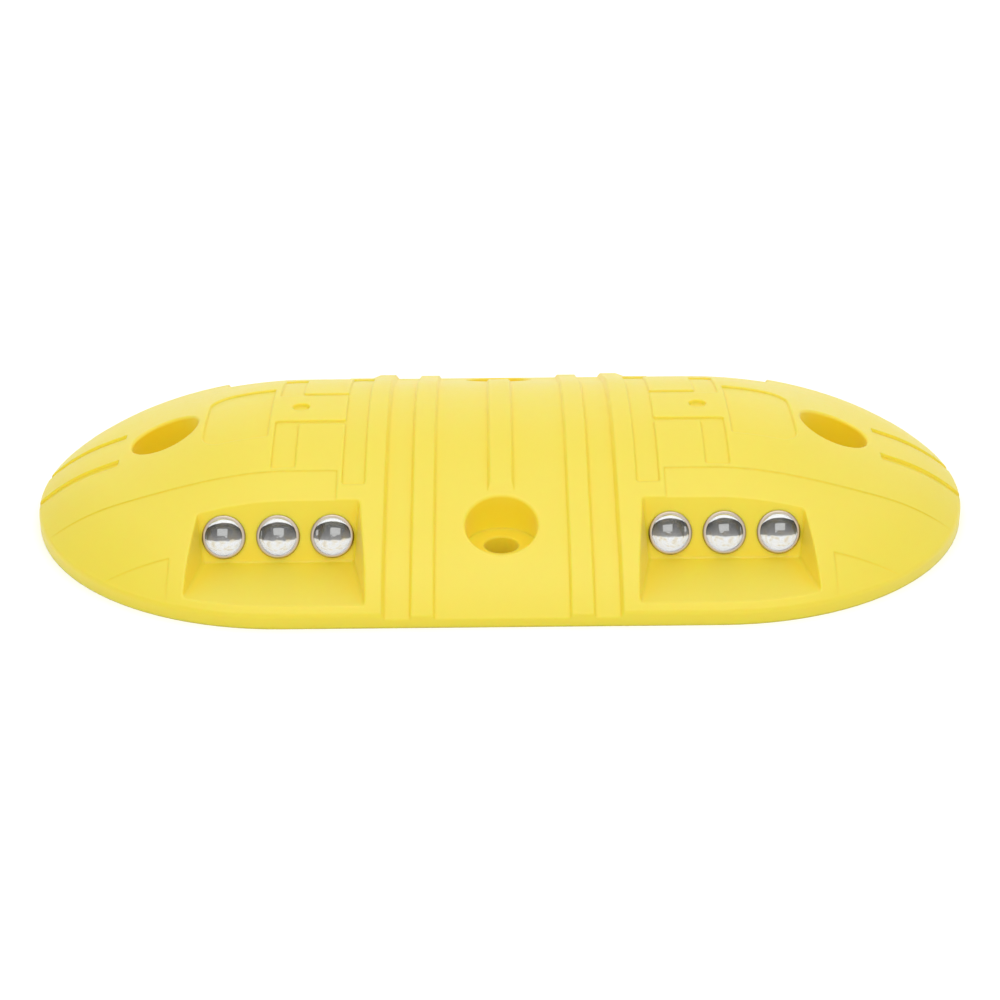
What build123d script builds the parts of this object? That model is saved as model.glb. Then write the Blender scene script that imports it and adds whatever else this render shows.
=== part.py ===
"""Domed oval road stud: a moulded body with twelve mirrored glass lenses, bolted down through four holes."""

import os
from math import cos, radians, sin, tan

from build123d import *

os.makedirs("parts", exist_ok=True)

# Overall form of the body, seen from above a straight middle with two round ends
length = 450.0
width = 254.0
height = 51.0
lip_height = 6.5
lip_round = 3.0
crown_flat = 4.0
crown_half_width = 52.0
slope_angle = 20.5
shoulder_start = 96.0

# Ribs and channels that run across the middle, as distances from the middle of the length
middle_zone = 54.0
side_rib_outer = 39.8
side_rib_inner = 31.6
centre_rib_width = 10.0
centre_rib_reach = 63.0
rib_end_slope = 36.0
rib_drop = 0.6
channel_drop = 2.2
channel_draft = 35.0

# Shallow relief on each side panel
strap_width = 9.0
groove_width = 10.5
groove_reach = 60.0
groove_drop = 1.0
band_half_width = 14.5
band_gap = 3.0
pad_width = 22.3
slot_width = 11.2
dimple_diameter = 8.0
dimple_drop = 1.6
ridge_width = 3.2
pocket_length = 31.8
pocket_half_width = 27.0
pocket_corner = 10.0
pocket_drop = 1.1
panel_step = 0.4
panel_land = 2.4
end_groove_spacing = 29.4
end_groove_width = 6.3
end_groove_start = 184.0
end_groove_drop = 1.6
notch_start = 150.5
notch_inner = 95.0
notch_drop = 0.5
relief_corner = 1.2
relief_round = 0.7

# Bolt holes
end_hole_spacing = 325.0
side_hole_spacing = 164.0
bolt_hole_diameter = 16.0
counterbore_diameter = 33.0
seat_below_shoulder = 8.0
rim_round = 1.2

# Lens recesses
recess_centre = 102.6
recess_foot = 81.5
recess_floor = 9.5
recess_foot_width = 69.6
recess_flare = 9.0
recess_side_draft = 10.0
recess_round = 1.5
recess_rim_round = 1.0
lens_wall_lean = 25.0
lens_pitch = 24.9
lens_count = 3
lens_rise = 11.7

# Lens and mirror cup, measured along the lens axis from the lens wall
lens_diameter = 17.0
lens_edge_front = 0.8
lens_edge_back = 3.5
lens_bulge = 3.0
cup_wall = 0.6
cup_base_round = 0.5
cup_flange_width = 0.8
cup_flange_stand = 1.2
cup_flange_round = 0.9
glass_clearance = 0.1
cup_clearance = 0.1

# Hollow underside
shell_wall = 7.0
edge_wall = 9.0
stiffener = 5.0
cell_pitch = 38.0
boss_wall = 8.0
block_wall = 6.0

# Values that follow from the sizes above
end_radius = width / 2
end_centre = length / 2 - end_radius
crown_radius = (crown_half_width - crown_flat / 2) / sin(radians(slope_angle))
crown_edge_height = height - crown_radius * (1 - cos(radians(slope_angle)))
shoulder_height = crown_edge_height - (shoulder_start - crown_half_width) * tan(radians(slope_angle))
seat_height = shoulder_height - seat_below_shoulder
run_out = 8.0
below = run_out + shell_wall
above = height + 10.0

# Places of the pieces
lean_cos = cos(radians(lens_wall_lean))
lean_sin = sin(radians(lens_wall_lean))
lens_axis_y = recess_foot - lens_rise * lean_sin
lens_axis_z = recess_floor + lens_rise * lean_cos
lens_radius = lens_diameter / 2
cup_inner_radius = lens_radius + glass_clearance
cup_outer_radius = cup_inner_radius + cup_wall
cup_inside_depth = lens_edge_back + glass_clearance
cup_depth = cup_inside_depth + cup_wall
cup_flange_radius = cup_outer_radius + cup_flange_width
pocket_radius = cup_outer_radius + cup_clearance
pocket_depth = cup_depth + cup_clearance
strap_outer = middle_zone + strap_width
groove_outer = strap_outer + groove_width
pad_outer = groove_outer + pad_width
slot_outer = pad_outer + slot_width
pocket_inner = slot_outer + ridge_width
pad_start = band_half_width + band_gap
hole_points = [
    (-end_hole_spacing / 2, 0),
    (end_hole_spacing / 2, 0),
    (0, -side_hole_spacing / 2),
    (0, side_hole_spacing / 2),
]


def half_top_line(side, drop, lip_drop):
    """One half of the domed top in section, from the crown out past the lip, lowered by drop."""
    flat = Line((0, height - drop), (side * crown_flat / 2, height - drop))
    crown = JernArc(flat @ 1, (side, 0), crown_radius, -side * slope_angle)
    slope = Line(crown @ 1, (side * shoulder_start, shoulder_height - drop))
    shoulder = TangentArc(slope @ 1, (side * end_radius, lip_height - lip_drop), tangent=slope % 1)
    return Line(shoulder @ 1, shoulder @ 1 + run_out * (shoulder % 1))


def dome_block(drop, lip_drop):
    """Everything under the domed top, lowered by drop in the middle and by lip_drop at the lip."""
    section_plane = Plane(origin=(end_centre, 0, 0), x_dir=(0, 1, 0), z_dir=(1, 0, 0))
    end_axis = Axis((end_centre, 0, 0), (0, 0, 1))
    with BuildPart() as block:
        with BuildSketch(section_plane) as half_section:
            with BuildLine():
                far = half_top_line(-1, drop, lip_drop) @ 1
                Polyline(far, (far.X, -below), (0, -below), (0, height - drop))
            make_face()
        revolve(axis=end_axis, revolution_arc=180)
        mirror(about=Plane.YZ)
        with BuildSketch(section_plane):
            add(half_section.sketch_local)
            mirror(about=Plane.YZ)
        extrude(amount=-2 * end_centre)
    return block.part


def relief_cutter(plan, drop, lip_drop):
    """What has to go to lower the top by drop over a plan shape."""
    lowered_dome = dome_block(drop, lip_drop)
    with BuildPart() as cutter:
        extrude(plan, amount=above)
        add(lowered_dome, mode=Mode.SUBTRACT)
    return cutter.part


def strip_along_top(drop, corners):
    """A strip with the given section that runs across the stud on the domed top lowered by drop."""
    with BuildPart() as strip:
        with BuildLine(Plane.YZ) as top_line:
            half_top_line(1, drop, drop)
            front_end = half_top_line(-1, drop, drop)
        with BuildSketch(Plane(front_end @ 1, x_dir=(1, 0, 0), z_dir=front_end % 1)):
            with BuildLine():
                Polyline(*corners, close=True)
            make_face()
        sweep(path=top_line.wire())
    return strip.part


def channel_cutter(centre, half_width, drop):
    """Cutter for a channel across the stud, with its width at the top and its sides sloped by the draft."""
    floor_half = half_width - drop * draft_spread
    top_half = half_width + run_out * draft_spread
    top = drop + run_out
    corners = [
        (centre - floor_half, 0),
        (centre + floor_half, 0),
        (centre + top_half, top),
        (centre - top_half, top),
    ]
    return strip_along_top(drop, corners)


draft_spread = tan(radians(channel_draft))
side_channel_centre = (side_rib_outer + middle_zone) / 2
side_channel_half = (middle_zone - side_rib_outer) / 2
channel_cutters = [
    channel_cutter(0, middle_zone, rib_drop),
    channel_cutter(0, side_rib_inner, channel_drop),
    channel_cutter(side_channel_centre, side_channel_half, channel_drop),
    channel_cutter(-side_channel_centre, side_channel_half, channel_drop),
]

# Rib along the middle of the widest channel, which fades out before the two side bolt holes
rib_rise = channel_drop - rib_drop
rib_root = centre_rib_width / 2 + (rib_rise + rib_drop) * draft_spread
rib_top = centre_rib_width / 2
rib_corners = [(-rib_root, -rib_drop), (rib_root, -rib_drop), (rib_top, rib_rise), (-rib_top, rib_rise)]
rib_strip = strip_along_top(channel_drop, rib_corners)
rib_end_rise = (shoulder_start - centre_rib_reach) * tan(radians(slope_angle))
rib_end_height = shoulder_height + rib_end_rise - channel_drop
rib_foot = centre_rib_reach + rib_end_height / tan(radians(rib_end_slope))
rib_peak = rib_foot * tan(radians(rib_end_slope))
with BuildPart() as centre_rib:
    add(rib_strip)
    with BuildSketch(Plane.YZ) as rib_side:
        with BuildLine():
            Polyline((-rib_foot, 0), (rib_foot, 0), (0, rib_peak), close=True)
        make_face()
    extrude(rib_side.sketch, amount=length, both=True, mode=Mode.INTERSECT)

# Plan shapes of the shallow relief, the same at both ends and on both sides
branch_mid = (strap_outer + slot_outer) / 2
branch_end = crown_half_width - panel_land
branch_mid_y = (band_half_width + branch_end) / 2
pad_mid = (groove_outer + pad_outer) / 2
pad_mid_y = (pad_start + branch_end) / 2
lower_panel_start = groove_outer + panel_land
beyond_end = length / 2 + run_out
beyond_side = width / 2 + run_out

with BuildSketch() as groove_plan:
    with GridLocations(groove_outer + strap_outer, 0, 2, 1):
        Rectangle(groove_width, 2 * groove_reach)
    with GridLocations(2 * branch_mid, 2 * branch_mid_y, 2, 2):
        Rectangle(slot_outer - strap_outer, branch_end - band_half_width)
    with GridLocations(2 * pad_mid, 2 * pad_mid_y, 2, 2):
        Rectangle(pad_width, branch_end - pad_start, mode=Mode.SUBTRACT)
    fillet(groove_plan.vertices(), relief_corner)

with BuildSketch() as dimple_plan:
    with GridLocations(2 * pad_outer, 0, 2, 1):
        Circle(dimple_diameter / 2)

with BuildSketch() as pocket_plan:
    with Locations((pocket_inner + pocket_length / 2, 0)):
        Rectangle(pocket_length, 2 * pocket_half_width)
    fillet(pocket_plan.vertices().group_by(Axis.X)[-1], pocket_corner)
    fillet(pocket_plan.vertices().group_by(Axis.X)[0], relief_corner)
    mirror(about=Plane.YZ)

with BuildSketch() as step_plan:
    with GridLocations(lower_panel_start + beyond_end, crown_half_width + beyond_side, 2, 2):
        Rectangle(beyond_end - lower_panel_start, beyond_side - crown_half_width)

with BuildSketch() as notch_plan:
    with GridLocations(notch_start + beyond_end, notch_inner + beyond_side, 2, 2):
        Rectangle(beyond_end - notch_start, beyond_side - notch_inner)

with BuildSketch() as end_groove_plan:
    with GridLocations(end_groove_start + beyond_end, end_groove_spacing, 2, 2):
        Rectangle(beyond_end - end_groove_start, end_groove_width)

# Hollows that lie within the panels have a rounded edge, and steps that run out over the edge a sharp one
hollow_cutters = [
    relief_cutter(groove_plan.sketch, groove_drop, 0),
    relief_cutter(dimple_plan.sketch, dimple_drop, 0),
    relief_cutter(pocket_plan.sketch, pocket_drop, 0),
]
step_cutters = [
    relief_cutter(step_plan.sketch, panel_step, 0),
    relief_cutter(notch_plan.sketch, panel_step + notch_drop, 0),
    relief_cutter(end_groove_plan.sketch, end_groove_drop, end_groove_drop),
]

# Space in front of the lenses: flat floor, drafted sides that flare outwards, and the leaning lens wall
recess_back = recess_foot - above * tan(radians(lens_wall_lean))
flare = tan(radians(recess_flare))


def recess_half_width(y):
    """Half the width of the recess floor at a distance from the middle of the width."""
    return recess_foot_width / 2 + (y - recess_foot) * flare


with BuildPart() as recess:
    with BuildSketch(Plane.XY.offset(recess_floor)):
        with BuildLine():
            Polyline(
                (recess_centre - recess_half_width(recess_back), -recess_back),
                (recess_centre + recess_half_width(recess_back), -recess_back),
                (recess_centre + recess_half_width(beyond_side), -beyond_side),
                (recess_centre - recess_half_width(beyond_side), -beyond_side),
                close=True,
            )
        make_face()
    extrude(amount=above, taper=-recess_side_draft)
    with BuildSketch(Plane.YZ) as lens_wall_section:
        with BuildLine():
            Polyline(
                (-recess_foot, recess_floor),
                (-recess_back, recess_floor + above),
                (-beyond_side, recess_floor + above),
                (-beyond_side, recess_floor),
                close=True,
            )
        make_face()
    extrude(lens_wall_section.sketch, amount=length / 2, mode=Mode.INTERSECT)
    recess_ground = recess.faces().sort_by(Axis.Z)[0]
    lens_wall = recess.faces().sort_by(Axis.Y)[-1]
    corner_edges = (recess_ground.edges() + lens_wall.edges()).filter_by(
        lambda edge: edge.center().Z < above and edge.center().Y > -beyond_side + recess_round
    )
    fillet(corner_edges, recess_round)
    mirror(about=Plane.YZ)
    mirror(about=Plane.XZ)

# Hollow cells of the underside, kept clear of the bolt bosses and of the blocks that hold the lenses
pocket_end_y = lens_axis_y - pocket_depth * lean_cos - pocket_radius * lean_sin
block_start = pocket_end_y - block_wall
block_half_width = recess_half_width(width / 2) + block_wall
ribs_across = 2 * int(length / 2 / cell_pitch) + 1
ribs_along = 2 * int(width / 2 / cell_pitch) + 1
smallest_cell = (cell_pitch / 3) ** 2

with BuildSketch() as cell_plan:
    SlotOverall(length - 2 * edge_wall, width - 2 * edge_wall)
    with GridLocations(cell_pitch, 0, ribs_across, 1):
        Rectangle(stiffener, width, mode=Mode.SUBTRACT)
    with GridLocations(0, cell_pitch, 1, ribs_along):
        Rectangle(length, stiffener, mode=Mode.SUBTRACT)
    with Locations(*hole_points):
        Circle(counterbore_diameter / 2 + boss_wall, mode=Mode.SUBTRACT)
    with GridLocations(2 * recess_centre, block_start + beyond_side, 2, 2):
        Rectangle(2 * block_half_width, beyond_side - block_start, mode=Mode.SUBTRACT)

inner_dome = dome_block(shell_wall, shell_wall)
with BuildPart() as cells:
    with BuildSketch():
        add(cell_plan.faces().filter_by(lambda face: face.area > smallest_cell))
    extrude(amount=above)
    add(inner_dome, mode=Mode.INTERSECT)

# Seat of each lens on its leaning wall, counted from the middle outwards, with the lens axis as its normal
lens_seats = {}
for face_name, face in (("front", -1), ("back", 1)):
    for side_name, side in (("left", -1), ("right", 1)):
        for number in range(lens_count):
            seat_x = recess_centre + (number - (lens_count - 1) / 2) * lens_pitch
            lens_seats[f"{face_name}_{side_name}_{number + 1}"] = Plane(
                origin=(side * seat_x, face * lens_axis_y, lens_axis_z),
                x_dir=(1, 0, 0),
                z_dir=(0, face * lean_cos, lean_sin),
            )

plain_dome = dome_block(0, 0)
with BuildPart() as body:
    add(plain_dome)
    with BuildSketch() as outline:
        SlotOverall(length, width)
    extrude(outline.sketch, amount=above, mode=Mode.INTERSECT)
    lip_edges = body.edges().filter_by_position(Axis.Z, lip_height - 0.1, lip_height + 0.1)
    fillet(lip_edges, lip_round)
    for cutter in channel_cutters:
        add(cutter, mode=Mode.SUBTRACT)
    add(centre_rib.part)
    with Locations(*[(x, y, height) for x, y in hole_points]):
        CounterBoreHole(
            bolt_hole_diameter / 2,
            counterbore_diameter / 2,
            counter_bore_depth=height - seat_height,
            depth=height,
        )
    rim_edges = body.edges(Select.NEW).filter_by(lambda edge: edge.center().Z > seat_height)
    fillet(rim_edges, rim_round)
    add(recess.part, mode=Mode.SUBTRACT)
    fillet(body.edges(Select.NEW), recess_rim_round)
    for cutter in hollow_cutters:
        add(cutter, mode=Mode.SUBTRACT)
        fillet(body.edges(Select.NEW), relief_round)
    for cutter in step_cutters:
        add(cutter, mode=Mode.SUBTRACT)
    with BuildSketch(*lens_seats.values()) as lens_pockets:
        Circle(pocket_radius)
    extrude(lens_pockets.sketch, amount=-pocket_depth, mode=Mode.SUBTRACT)
    with BuildSketch(*lens_seats.values()) as flange_spaces:
        Circle(cup_flange_radius + cup_clearance)
    extrude(flange_spaces.sketch, amount=run_out, mode=Mode.SUBTRACT)
    add(cells.part, mode=Mode.SUBTRACT)
body.part.label = "body"
export_step(body.part, "parts/body.step")

# Each lens is domed in front and flat at the back, and sits in its own mirrored cup
for name, seat in lens_seats.items():
    section_plane = Plane(seat.origin, x_dir=seat.x_dir, z_dir=seat.x_dir.cross(seat.z_dir))
    lens_axis = Axis(seat.origin, seat.z_dir)

    with BuildPart() as lens:
        with BuildSketch(section_plane):
            with BuildLine():
                front = TangentArc(
                    (0, lens_edge_front + lens_bulge), (lens_radius, lens_edge_front), tangent=(1, 0)
                )
                Polyline(front @ 1, (lens_radius, -lens_edge_back), (0, -lens_edge_back), front @ 0)
            make_face()
        revolve(axis=lens_axis)
    lens.part.label = f"lens_{name}"
    export_step(lens.part, f"parts/lens_{name}.step")

    with BuildPart() as mirror_cup:
        with BuildSketch(section_plane) as cup_section:
            with BuildLine():
                Polyline(
                    (0, -cup_inside_depth),
                    (cup_inner_radius, -cup_inside_depth),
                    (cup_inner_radius, cup_flange_stand),
                    (cup_flange_radius, cup_flange_stand),
                    (cup_flange_radius, cup_clearance),
                    (cup_outer_radius, cup_clearance),
                    (cup_outer_radius, -cup_depth),
                    (0, -cup_depth),
                    close=True,
                )
            make_face()
            flange_corner = cup_section.vertices().group_by(Axis.Y)[-1].sort_by(Axis.X)[-1]
            base_corner = cup_section.vertices().group_by(Axis.Y)[0].sort_by(Axis.X)[-1]
            fillet(flange_corner, cup_flange_round)
            fillet(base_corner, cup_base_round)
        revolve(axis=lens_axis)
    mirror_cup.part.label = f"mirror_cup_{name}"
    export_step(mirror_cup.part, f"parts/mirror_cup_{name}.step")
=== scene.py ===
# %% [markdown]
# # A moulded road stud with glass lenses
#
# The stud is a low yellow dome that is bolted to the road. Its shape is already exact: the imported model
# brings in the moulded body, twelve glass lenses and the twelve mirrored cups that hold them, each in its
# real place and in metres. So the modelling is done, and this lesson is about looks: what moulded
# plastic, pressed mirror metal and clear glass are made of, and how a photographer lights them.

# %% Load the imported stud
from math import cos, pi, radians, sin

import bmesh
import bpy
from mathutils import Matrix, Quaternion, Vector

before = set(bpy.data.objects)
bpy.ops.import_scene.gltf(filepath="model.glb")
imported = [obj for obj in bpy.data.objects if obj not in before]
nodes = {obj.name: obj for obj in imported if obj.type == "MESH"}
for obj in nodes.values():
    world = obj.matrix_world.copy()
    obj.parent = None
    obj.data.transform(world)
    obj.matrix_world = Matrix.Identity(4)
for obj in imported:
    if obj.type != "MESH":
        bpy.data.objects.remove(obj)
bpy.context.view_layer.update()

# %% [markdown]
# ## Small helpers for materials
#
# A finish is a short chain of nodes. In the Shader Editor each node is placed and wired by hand. A script has
# to say which socket gets what, so one helper makes a node, sets its plain values and links other nodes'
# outputs. The others stand on it, for what most finishes here need: a sum, a noise, a stretch of values, a
# ramp of tones and one colour that tints another.

# %% Node helpers
def set_socket(material, socket, value):
    """Links another node's output to a socket, or sets a plain value on it."""
    if isinstance(value, bpy.types.NodeSocket):
        material.node_tree.links.new(value, socket)
    else:
        socket.default_value = value


def add_node(material, kind, **inputs):
    """Adds a node of a kind; each input is a plain value or the output socket of another node."""
    node = material.node_tree.nodes.new(kind)
    for name, value in inputs.items():
        set_socket(material, node.inputs[name.replace("_", " ")], value)
    return node


def add_math(material, operation, first, second=0.0):
    """The result of one sum on two values or sockets."""
    node = material.node_tree.nodes.new("ShaderNodeMath")
    node.operation = operation
    set_socket(material, node.inputs[0], first)
    set_socket(material, node.inputs[1], second)
    return node.outputs[0]


def object_place(material):
    """The place of a point in its object's own coordinates."""
    return add_node(material, "ShaderNodeTexCoord").outputs["Object"]


def add_noise(material, place, scale, detail, roughness):
    """A noise pattern that fills the space of a place."""
    noise = add_node(
        material, "ShaderNodeTexNoise", Vector=place, Scale=scale, Detail=detail, Roughness=roughness
    )
    return noise.outputs["Fac"]


def stretch_noise(material, noise, low, high):
    """A noise, which mostly lies between 0.3 and 0.7, stretched over a range of values."""
    stretch = add_node(
        material, "ShaderNodeMapRange", Value=noise, From_Min=0.3, From_Max=0.7, To_Min=low, To_Max=high
    )
    return stretch.outputs["Result"]


def add_tones(material, share, *stops):
    """A ramp of tones over a share from 0 to 1; each stop is its place on the ramp and its colour."""
    tones = add_node(material, "ShaderNodeValToRGB", Fac=share)
    ramp = tones.color_ramp.elements
    for end, (position, colour) in ((ramp[0], stops[0]), (ramp[1], stops[-1])):
        end.position = position
        end.color = (*colour, 1.0)
    for position, colour in stops[1:-1]:
        ramp.new(position).color = (*colour, 1.0)
    return tones.outputs["Color"]


def tint_colour(material, share, colour, tint):
    """A colour multiplied by another one, by a share from 0 to 1."""
    mix = add_node(material, "ShaderNodeMixRGB", Fac=share, Color1=colour, Color2=tint)
    mix.blend_type = "MULTIPLY"
    return mix.outputs["Color"]


# %% [markdown]
# ## From a finish to a piece
#
# A new material comes with a shader of its own, so each finish here starts empty and ends at an output node.
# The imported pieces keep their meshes, and only what is in their material slots changes.

# %% Helpers for finishes
def new_finish(name):
    """A material without any nodes yet."""
    material = bpy.data.materials.new(name)
    material.use_nodes = True
    material.node_tree.nodes.clear()
    return material


def show(material, shader):
    """Sends a shader to the material's output."""
    add_node(material, "ShaderNodeOutputMaterial", Surface=shader)
    print("finish", material.name, "has", len(material.node_tree.nodes), "nodes")


def cover(names, material):
    """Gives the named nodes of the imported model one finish."""
    for name in names:
        nodes[name].data.materials.clear()
        nodes[name].data.materials.append(material)
    print(material.name, "on", len(names), "pieces")


# %% [markdown]
# ## Yellow moulded plastic
#
# The body is one piece of strong yellow plastic, satin rather than shiny. A mould leaves a very fine
# grain, the colour drifts a little as the melt flows, and no moulded edge is truly sharp. Noise on Object
# coordinates gives the drift and the grain. The edges could be rounded in the mesh, but the imported mesh stays
# as it is, so a Bevel node rounds the light on every edge by about a millimetre instead.
#
# In grooves, recesses and holes the same plastic looks golden, because light that bounces between two
# yellow faces takes on their colour twice. That bounce light and shade is painted into the colour here:
# two Ambient Occlusion nodes find those places, one for the fine relief and one for the deep hollows, and
# the colour moves from open yellow to a painted gold where they close in.

# %% Where surfaces close in
def find_corners(material, distance, only_local):
    """A factor that falls from 1 on open surfaces towards 0 where others close in within a distance."""
    corners = add_node(material, "ShaderNodeAmbientOcclusion", Distance=distance)
    corners.samples = 12
    corners.only_local = only_local
    return corners.outputs["AO"]


# %% Finish of the body
fine_relief = 0.004
fine_relief_least = 0.5
deep_hollow = 0.030
edge_softness = 0.0014
# The first two tones are painted bounce light and shade for hollows and creases; the last is the plastic's own
# colour.
painted_hollow_gold = (1.0, 0.84, 0.055)
painted_crease_yellow = (1.0, 0.735, 0.016)
open_yellow = (0.935, 0.760, 0.048)

yellow = new_finish("moulded_yellow_plastic")
place = object_place(yellow)
melt_drift = add_noise(yellow, place, scale=22.0, detail=3.0, roughness=0.55)
speckle = add_noise(yellow, place, scale=420.0, detail=2.0, roughness=0.6)
mould_grain = add_noise(yellow, place, scale=1900.0, detail=2.0, roughness=0.5)

fine_corners = find_corners(yellow, fine_relief, only_local=True)
deep_corners = find_corners(yellow, deep_hollow, only_local=True)
fine_share = add_node(yellow, "ShaderNodeMapRange", Value=fine_corners, To_Min=fine_relief_least)
openness = add_math(yellow, "MULTIPLY", fine_share.outputs["Result"], deep_corners)
drifted_openness = add_math(yellow, "ADD", openness, stretch_noise(yellow, melt_drift, -0.04, 0.0))
# This ramp paints bounce light and shade into the base colour where surfaces close in.
yellow_with_painted_shade = add_tones(yellow, drifted_openness, (0.12, painted_hollow_gold), (0.62, painted_crease_yellow), (1.0, open_yellow))

soft_edge = add_node(yellow, "ShaderNodeBevel", Radius=edge_softness)
soft_edge.samples = 8
grain_bump = add_node(
    yellow, "ShaderNodeBump", Strength=0.10, Distance=0.00012,
    Height=mould_grain, Normal=soft_edge.outputs["Normal"],
)
plastic = add_node(
    yellow, "ShaderNodeBsdfPrincipled",
    Base_Color=yellow_with_painted_shade, Roughness=stretch_noise(yellow, speckle, 0.40, 0.48),
    Normal=grain_bump.outputs["Normal"], IOR=1.55,
    Subsurface_Weight=0.6, Subsurface_Radius=(1.0, 0.60, 0.15), Subsurface_Scale=0.003,
    Sheen_Weight=0.12, Sheen_Roughness=0.5,
)
show(yellow, plastic.outputs["BSDF"])
cover(["body"], yellow)

# %% [markdown]
# ## Mirrored cups
#
# Each lens sits in a thin pressed cup. Its inside is polished, so that it throws light back to where it
# came from, and its rolled rim is left as it comes from the press, warmer and duller. Two materials on
# chosen faces would do, but one finish keeps the mesh as it is: how far a point lies in front of the lens
# wall tells the rim from the inside, and that distance is a sum of the point's own Object coordinates.

# %% Where the rim of a cup begins
cup_names = [name for name in nodes if name.startswith("mirror_cup_")]
wall_lean = radians(25)
rim_depth = 0.0010
rim_blend = 0.0003
rim_front = max(
    abs(point.co.y) * cos(wall_lean) + point.co.z * sin(wall_lean)
    for point in nodes[cup_names[0]].data.vertices
)
print("rims reach", round(rim_front, 4), "m along the lens axis")

mirror = new_finish("pressed_mirror_aluminium")
place = object_place(mirror)
along = add_node(mirror, "ShaderNodeSeparateXYZ", Vector=place)
outwards = add_math(mirror, "MULTIPLY", add_math(mirror, "ABSOLUTE", along.outputs["Y"]), cos(wall_lean))
upwards = add_math(mirror, "MULTIPLY", along.outputs["Z"], sin(wall_lean))
rim_range = add_node(
    mirror, "ShaderNodeMapRange", Value=add_math(mirror, "ADD", outwards, upwards),
    From_Min=rim_front - rim_depth - rim_blend, From_Max=rim_front - rim_depth,
)
rim_share = rim_range.outputs["Result"]

# %% [markdown]
# Painted shade in the gap between rim and body gives each rim its dark outline. It could be a ring of its
# own, but an Ambient Occlusion node finds the gap wherever the two pieces come close. The press leaves fine
# marks, which one noise carries into both the haze of the mirror and its bump.

# %% Finish of the mirror cups
rim_gap = 0.0025
rim_roughness = 0.32
polished_inside = (0.88, 0.88, 0.88)
plain_rim = (0.64, 0.55, 0.45)
# The dark tone below is painted shade for the gap between rim and body; the white one leaves the metal as it
# is.
painted_gap_shade = (0.16, 0.11, 0.06)
unshaded_metal = (1.0, 1.0, 1.0)

metal_tones = add_tones(mirror, rim_share, (0.0, polished_inside), (1.0, plain_rim))
gap_openness = find_corners(mirror, rim_gap, only_local=False)
# This ramp paints that shade into the rim's colour where the body closes in.
gap_shade_tones = add_tones(mirror, gap_openness, (0.58, painted_gap_shade), (0.95, unshaded_metal))
press_marks = add_noise(mirror, place, scale=700.0, detail=3.0, roughness=0.6)
rim_dullness = add_math(mirror, "MULTIPLY", rim_share, rim_roughness)
press_bump = add_node(mirror, "ShaderNodeBump", Strength=0.05, Distance=0.0001, Height=press_marks)
metal = add_node(
    mirror, "ShaderNodeBsdfPrincipled",
    Base_Color=tint_colour(mirror, rim_share, metal_tones, gap_shade_tones), Metallic=1.0,
    Roughness=add_math(mirror, "ADD", stretch_noise(mirror, press_marks, 0.03, 0.07), rim_dullness),
    Normal=press_bump.outputs["Normal"],
)
show(mirror, metal.outputs["BSDF"])
cover(cup_names, mirror)

# %% [markdown]
# ## Glass lenses
#
# The lenses are clear pressed glass, domed in front. A Glass shader would bend light as well, but the
# Principled shader's transmission does the same work and goes into the exported model with its plain values.
# A gentle waviness stands for the pressed surface, and makes each lens show the room a little differently.

# %% Finish of the lenses
lens_names = [name for name in nodes if name.startswith("lens_")]
glass = new_finish("pressed_lens_glass")
pressed_wave = add_noise(glass, object_place(glass), scale=90.0, detail=2.0, roughness=0.4)
wave_bump = add_node(glass, "ShaderNodeBump", Strength=0.60, Distance=0.0008, Height=pressed_wave)
lens_body = add_node(
    glass, "ShaderNodeBsdfPrincipled",
    Base_Color=(0.985, 0.99, 0.99, 1.0), Roughness=0.01, IOR=1.52,
    Transmission_Weight=1.0, Normal=wave_bump.outputs["Normal"],
)
show(glass, lens_body.outputs["BSDF"])
cover(lens_names, glass)

# %% [markdown]
# ## Floor and daylight tent
#
# Product photographs of glossy things are made in a white tent: light comes softly from everywhere. Many
# lamps could stand for it, but the world is simpler and has no edges, so the world is that tent. The floor is
# plain white; for what the camera and the mirrors see it also glows a little, so that it reads as white
# paper and still takes the stud's shadow.

# %% Studio helpers
def add_card(name, width, height, centre, tilt, turn=0.0):
    """A flat card of the studio: one face, tilted up from the floor about X and then turned about Z."""
    card_mesh = bpy.data.meshes.new(name)
    shape = bmesh.new()
    bmesh.ops.create_grid(shape, x_segments=1, y_segments=1, size=0.5)
    bmesh.ops.scale(shape, vec=(width, height, 1), verts=shape.verts)
    facing = Matrix.Rotation(turn, 3, "Z") @ Matrix.Rotation(tilt, 3, "X")
    bmesh.ops.rotate(shape, cent=(0, 0, 0), matrix=facing, verts=shape.verts)
    bmesh.ops.translate(shape, vec=centre, verts=shape.verts)
    shape.to_mesh(card_mesh)
    shape.free()
    card = bpy.data.objects.new(name, card_mesh)
    bpy.context.scene.collection.objects.link(card)
    print("card", name, round(width, 3), "by", round(height, 3), "m")
    return card


def seen_rays(owner):
    """A factor that is 1 for what the camera, mirrors and glass see, and 0 for light on its way."""
    light_path = add_node(owner, "ShaderNodeLightPath")
    mirrored = add_math(
        owner, "MAXIMUM", light_path.outputs["Is Glossy Ray"], light_path.outputs["Is Transmission Ray"]
    )
    return add_math(owner, "MAXIMUM", light_path.outputs["Is Camera Ray"], mirrored)


# %% Floor and world
floor_size = 12.0
floor_glow = 0.35
tent_light_level = 0.82
tent_seen_level = 1.0

floor = add_card("floor", floor_size, floor_size, (0, 0, 0), 0)
paper = new_finish("white_paper_floor")
paper_face = add_node(paper, "ShaderNodeBsdfDiffuse", Color=(0.80, 0.80, 0.80, 1.0))
paper_shine = add_math(paper, "MULTIPLY", seen_rays(paper), floor_glow)
paper_glow = add_node(paper, "ShaderNodeEmission", Strength=paper_shine)
paper_sum = paper.node_tree.nodes.new("ShaderNodeAddShader")
set_socket(paper, paper_sum.inputs[0], paper_face.outputs["BSDF"])
set_socket(paper, paper_sum.inputs[1], paper_glow.outputs["Emission"])
show(paper, paper_sum.outputs["Shader"])
floor.data.materials.append(paper)

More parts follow.
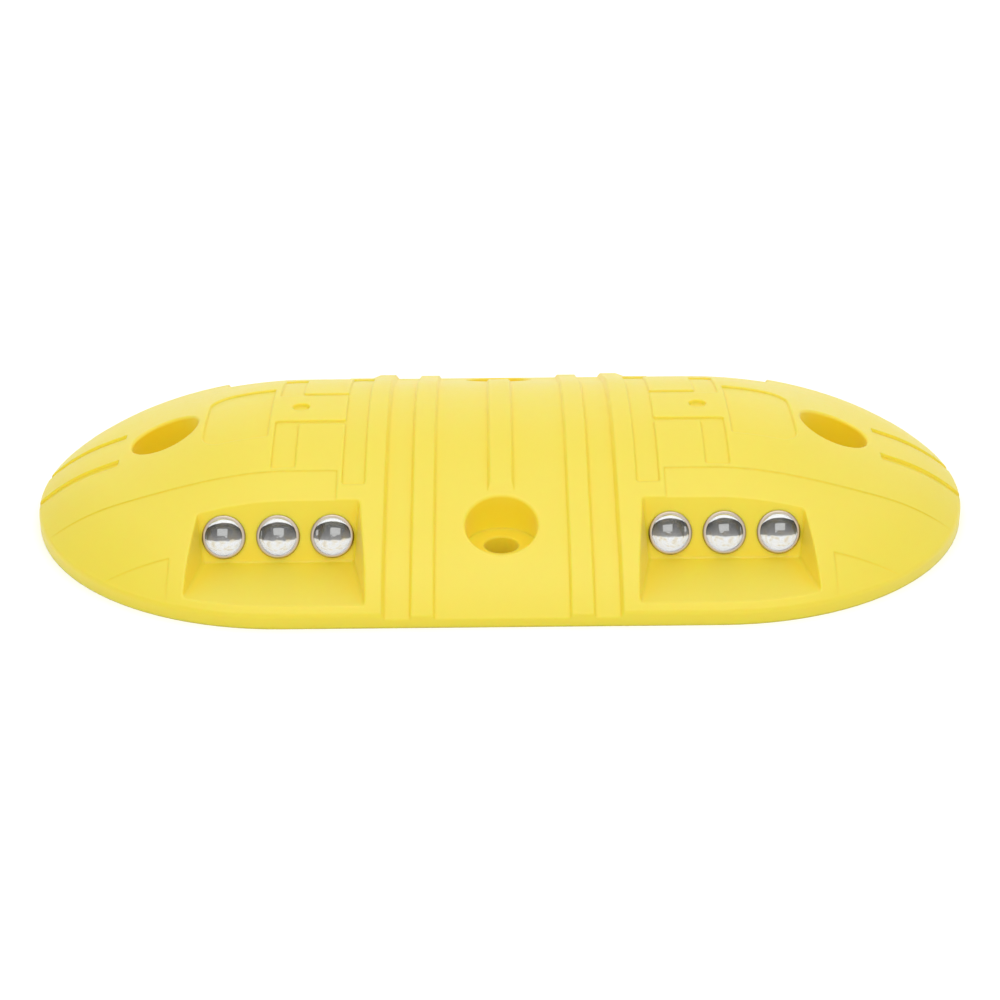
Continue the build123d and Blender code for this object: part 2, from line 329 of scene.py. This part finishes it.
tent = bpy.data.worlds.new("daylight_tent")
tent.use_nodes = True
tent_level = add_node(
    tent, "ShaderNodeMapRange", Value=seen_rays(tent), To_Min=tent_light_level, To_Max=tent_seen_level
)
tent_light = tent.node_tree.nodes["Background"]
set_socket(tent, tent_light.inputs["Color"], (1.0, 1.0, 1.0, 1.0))
set_socket(tent, tent_light.inputs["Strength"], tent_level.outputs["Result"])
bpy.context.scene.world = tent
print("tent lights at", tent_light_level, "and is seen at", tent_seen_level)

# %% [markdown]
# ## What the lenses see
#
# A mirror in an all-white tent is a plain white disc. A lens with a mirror behind it shows what stands in
# front of it, upside down, so a card in front of the stud and one behind carry what a room shows: a dark
# floor, a grey wall that gets lighter upwards, and white and warm light above it. A photograph of a room
# would do this at once, but these tones need no picture: height above the floor runs through one ramp, and
# a noise makes the line between them uneven and warms the white in places.

# %% Tones of the room
wall_height = 0.68
unevenness = 0.12
dark_floor = (0.05, 0.05, 0.052)
dark_wall = (0.10, 0.10, 0.10)
grey_wall = (0.30, 0.295, 0.29)
white_light = (1.0, 1.0, 1.0)
cream_light = (1.0, 0.97, 0.88)
tan_light = (0.84, 0.74, 0.56)

room = new_finish("room_tones")
place = object_place(room)
blotches = add_noise(room, place, scale=9.0, detail=2.0, roughness=0.5)
above_floor = add_node(room, "ShaderNodeSeparateXYZ", Vector=place).outputs["Z"]
uneven_height = add_math(room, "ADD", above_floor, add_math(room, "MULTIPLY", blotches, unevenness))
height_range = add_node(
    room, "ShaderNodeMapRange", Value=uneven_height,
    From_Min=unevenness / 2, From_Max=wall_height + unevenness / 2,
)
room_tones = add_tones(
    room, height_range.outputs["Result"],
    (0.0, dark_floor), (0.10, dark_wall), (0.43, grey_wall), (0.46, white_light),
)
warm_tones = add_tones(room, blotches, (0.46, white_light), (0.54, cream_light), (0.66, tan_light))
room_glow = add_node(room, "ShaderNodeEmission", Color=tint_colour(room, 1.0, room_tones, warm_tones))
show(room, room_glow.outputs["Emission"])

# %% [markdown]
# A pale patch faces each row of lenses, and a divider keeps it from the other row. Such cards would also
# shade the stud and colour its gloss. Each kind of ray can be switched off for an object, so only rays that
# come out of the glass see these cards, and they take no light from the stud.

# %% Helpers for glowing cards
def new_glow(name, colour, strength=1.0):
    """A finish that glows evenly in one plain colour."""
    glow = new_finish(name)
    emission = add_node(glow, "ShaderNodeEmission", Color=(*colour, 1.0), Strength=strength)
    show(glow, emission.outputs["Emission"])
    return glow


def show_only_to(card, kind):
    """Leaves a card visible to one kind of ray and hides it from the others."""
    for ray in ("camera", "diffuse", "glossy", "transmission", "shadow"):
        setattr(card, f"visible_{ray}", ray == kind)


# %% Cards that the lenses see
wall_distance = 0.58
card_span = 2.4
ground_start = 0.29
ground_level = 0.002
patch_width = 0.15
patch_height = 0.11
patch_level = 0.15
patch_place = 0.157
patch_gap = 0.01
divider_height = 0.13
divider_reach = 0.04
pale_patch = (0.60, 0.60, 0.59)
ground_length = wall_distance - ground_start

patch = new_glow("patch_tone", pale_patch)
for side_name, side in (("front", -1), ("back", 1)):
    wall_y = side * wall_distance
    ground_y = side * (wall_distance + ground_start) / 2
    divider_place = (0, ground_y - side * divider_reach / 2, divider_height / 2)
    wall = add_card(f"{side_name}_wall", card_span, wall_height, (0, wall_y, wall_height / 2), pi / 2)
    ground = add_card(f"{side_name}_ground", card_span, ground_length, (0, ground_y, ground_level), 0)
    patches = [
        add_card(
            f"{side_name}_patch_{i}", patch_width, patch_height,
            (x, wall_y - side * patch_gap, patch_level), pi / 2,
        )
        for i, x in enumerate((-patch_place, patch_place))
    ]
    divider = add_card(
        f"{side_name}_divider", ground_length + divider_reach, divider_height, divider_place, pi / 2, pi / 2
    )
    for card in (wall, ground, divider, *patches):
        card.data.materials.append(patch if card in patches else room)
        show_only_to(card, "transmission")

# %% [markdown]
# ## Softboxes
#
# Three large soft lights shape the relief: one above and a little to the right, so that the ribs get a light
# side and a shaded side, and one in front and one behind that reach the upright lip and the lens walls. Small
# lamps would give hard shadows, so each is a wide area light. All are hidden from mirrors and glass, which
# see the even tent instead.

# %% Softboxes
def add_softbox(name, width, height, place, watts):
    """A rectangular soft light that faces the stud."""
    light = bpy.data.lights.new(name, "AREA")
    light.shape = "RECTANGLE"
    light.size = width
    light.size_y = height
    light.energy = watts
    softbox = bpy.data.objects.new(name, light)
    softbox.location = place
    softbox.rotation_mode = "QUATERNION"
    softbox.rotation_quaternion = (-Vector(place)).to_track_quat("-Z", "Y")
    softbox.visible_glossy = False
    softbox.visible_transmission = False
    bpy.context.scene.collection.objects.link(softbox)
    print("softbox", name, watts, "W")


add_softbox("softbox_above", 1.6, 1.1, (0.15, -0.05, 1.5), 3.0)
add_softbox("softbox_front", 1.6, 0.9, (-0.05, -1.7, 0.75), 3.4)
add_softbox("softbox_back", 1.6, 0.9, (0.05, 1.7, 0.75), 3.4)

# %% [markdown]
# ## Cards for the gloss
#
# What satin plastic mirrors decides how pale or strong its colour looks. The softboxes could do this too, but
# then light and gloss couldn't be set apart. So gloss has cards of its own, which light nothing: a bright one
# above lays a soft veil over the middle of the plastic, and a grey one on each side keeps the ends strong
# in colour and the lens rims dark at their sides.

# %% Cards for the gloss
for name, size, centre, tilt, turn, level in (
    ("gloss_card_above", (1.6, 1.1), (0.0, -0.05, 1.5), 0, 0, 2.0),
    ("gloss_card_left", (2.0, 0.9), (-0.75, -0.2, 0.45), pi / 2, pi / 2, 0.45),
    ("gloss_card_right", (2.0, 0.9), (0.75, -0.2, 0.45), pi / 2, pi / 2, 0.55),
):
    gloss_card = add_card(name, *size, centre, tilt, turn)
    gloss_card.data.materials.append(new_glow(f"{name}_glow", white_light, level))
    show_only_to(gloss_card, "glossy")

# %% [markdown]
# ## Camera
#
# The camera stands in front of the stud, a little above it. Its place could be typed in as coordinates and
# turns, but an orbit is easier to read and to change: a target, a distance, and the angles that the
# photograph shows.

# %% Camera
target = Vector((-0.00002, 0.00327, -0.00217))
distance = 1.11642
elevation = radians(26.634)
yaw = radians(-0.339)
roll = radians(-0.393)
pixels_per_frame = 1000
focal_pixels = 2251.5

back = Vector((sin(yaw) * cos(elevation), -cos(yaw) * cos(elevation), sin(elevation)))
camera_data = bpy.data.cameras.new("camera")
camera_data.sensor_width = 36.0
camera_data.lens = focal_pixels / pixels_per_frame * camera_data.sensor_width
camera = bpy.data.objects.new("camera", camera_data)
camera.location = target + back * distance
camera.rotation_mode = "QUATERNION"
camera.rotation_quaternion = (-back).to_track_quat("-Z", "Y") @ Quaternion((0, 0, 1), roll)
bpy.context.scene.collection.objects.link(camera)
bpy.context.scene.camera = camera
bpy.context.scene.view_settings.view_transform = "Standard"
print("camera", round(distance, 3), "m away, focal length", round(camera_data.lens, 1), "mm")
